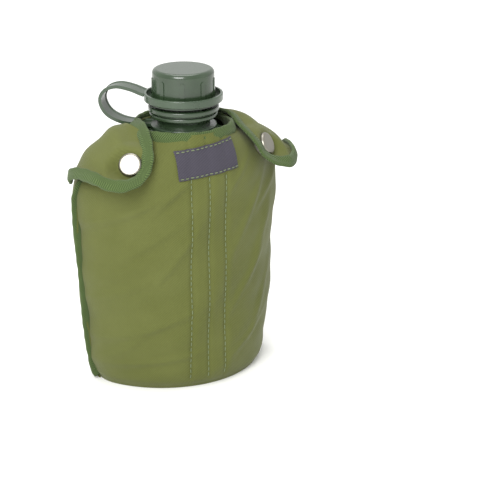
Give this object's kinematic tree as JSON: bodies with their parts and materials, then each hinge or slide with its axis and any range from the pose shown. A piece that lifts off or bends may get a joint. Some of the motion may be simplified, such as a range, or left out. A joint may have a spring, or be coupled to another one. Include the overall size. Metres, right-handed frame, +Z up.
{
  "type": "canteen",
  "caption": "Kidney-section water canteen with a tethered screw cap, in a twill cover with snap-down shoulder flaps and a belt hook.",
  "frame": {"origin": "on the neck's axis, at the plane that the cover's base rests on", "axes": "+Z up along the neck, -Y out of the front with the snaps, +X to the right seen from the front"},
  "size_m": [0.1484, 0.0792, 0.2117],
  "materials": {
    "bottle_plastic": "moulded polyethylene, dark green, soft gloss",
    "tether_plastic": "moulded flexible plastic, dark green, soft gloss",
    "gasket_rubber": "black seal rubber",
    "cover_twill": "olive nylon twill, washed and creased",
    "binding_tape": "green herringbone binding tape",
    "hook_webbing": "green woven webbing",
    "label_weave": "dark grey woven label",
    "snap_nickel": "nickel-plated brass, satin",
    "hook_wire": "dark plated steel wire"
  },
  "bodies": {
    "cover": {"cover_front": "cover_twill", "cover_back": "cover_twill", "cover_bottom": "cover_twill", "front_binding": "binding_tape", "back_binding": "binding_tape", "front_label": "label_weave", "left_snap_stud": "snap_nickel", "left_snap_post": "snap_nickel", "right_snap_stud": "snap_nickel", "right_snap_post": "snap_nickel", "hook_strap": "hook_webbing", "bottle_body": "bottle_plastic"},
    "tether_base": {"tether_neck_ring": "tether_plastic", "tether_strap": "tether_plastic"},
    "cap_ring": {"tether_cap_ring": "tether_plastic"},
    "cap": {"screw_cap": "bottle_plastic", "cap_gasket": "gasket_rubber"},
    "left_flap": {"left_flap": "cover_twill", "left_flap_binding": "binding_tape", "left_snap_cap": "snap_nickel", "left_snap_socket": "snap_nickel"},
    "right_flap": {"right_flap": "cover_twill", "right_flap_binding": "binding_tape", "right_snap_cap": "snap_nickel", "right_snap_socket": "snap_nickel"},
    "belt_hook": {"belt_hook": "hook_wire"}
  },
  "joints": [
    {"name": "tether_swivel", "type": "hinge", "parent": "cover", "child": "tether_base", "pos_m": [0, 0, 0.1735], "axis": [0, 0, 1], "range_deg": [-25, 4]},
    {"name": "cap_rise", "type": "slide", "parent": "tether_base", "child": "cap_ring", "axis": [0, 0, 1], "range_m": [0, 0.02]},
    {"name": "cap_spin", "type": "hinge", "parent": "cap_ring", "child": "cap", "pos_m": [0, 0, 0.2], "axis": [0, 0, 1], "range_deg": [0, 1440]},
    {"name": "left_flap_open", "type": "hinge", "parent": "cover", "child": "left_flap", "pos_m": [-0.0566, 0.0085, 0.1652], "axis": [-0.7913, 0.016, -0.6112], "range_deg": [0, 90]},
    {"name": "right_flap_open", "type": "hinge", "parent": "cover", "child": "right_flap", "pos_m": [0.0566, 0.0085, 0.1652], "axis": [-0.7913, -0.016, 0.6112], "range_deg": [0, 120]},
    {"name": "belt_hook_swing", "type": "hinge", "parent": "cover", "child": "belt_hook", "pos_m": [0, 0.02974, 0.157], "axis": [1, 0, 0], "range_deg": [0, 150]}
  ],
  "couplings": [
    {"joint": "cap_rise", "follows": "cap_spin", "m_per_rad": 0.00079577}
  ]
}
